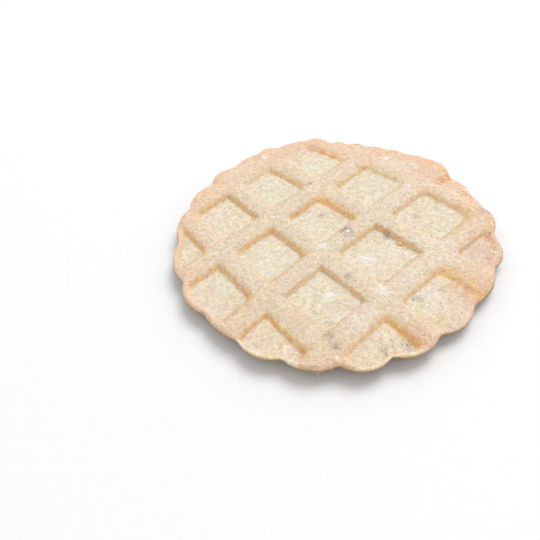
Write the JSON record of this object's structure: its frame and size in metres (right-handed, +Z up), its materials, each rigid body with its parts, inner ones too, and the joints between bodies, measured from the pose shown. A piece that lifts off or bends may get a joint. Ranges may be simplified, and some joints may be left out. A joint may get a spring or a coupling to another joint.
{
  "type": "anise biscuit",
  "caption": "Round scallop-edged biscuit with a diagonal lattice of ribs and shallow square pits pressed into its top, and a flat underside.",
  "frame": {"origin": "on the underside, in the middle of the bounding box", "axes": "+Z up out of the latticed top; the ribs run at 45 degrees to X and Y; -Y is the side that faces the viewer"},
  "size_m": [0.0676, 0.0674, 0.0046],
  "materials": {
    "crust": null
  },
  "bodies": {
    "root": {"biscuit": "crust"}
  },
  "joints": []
}
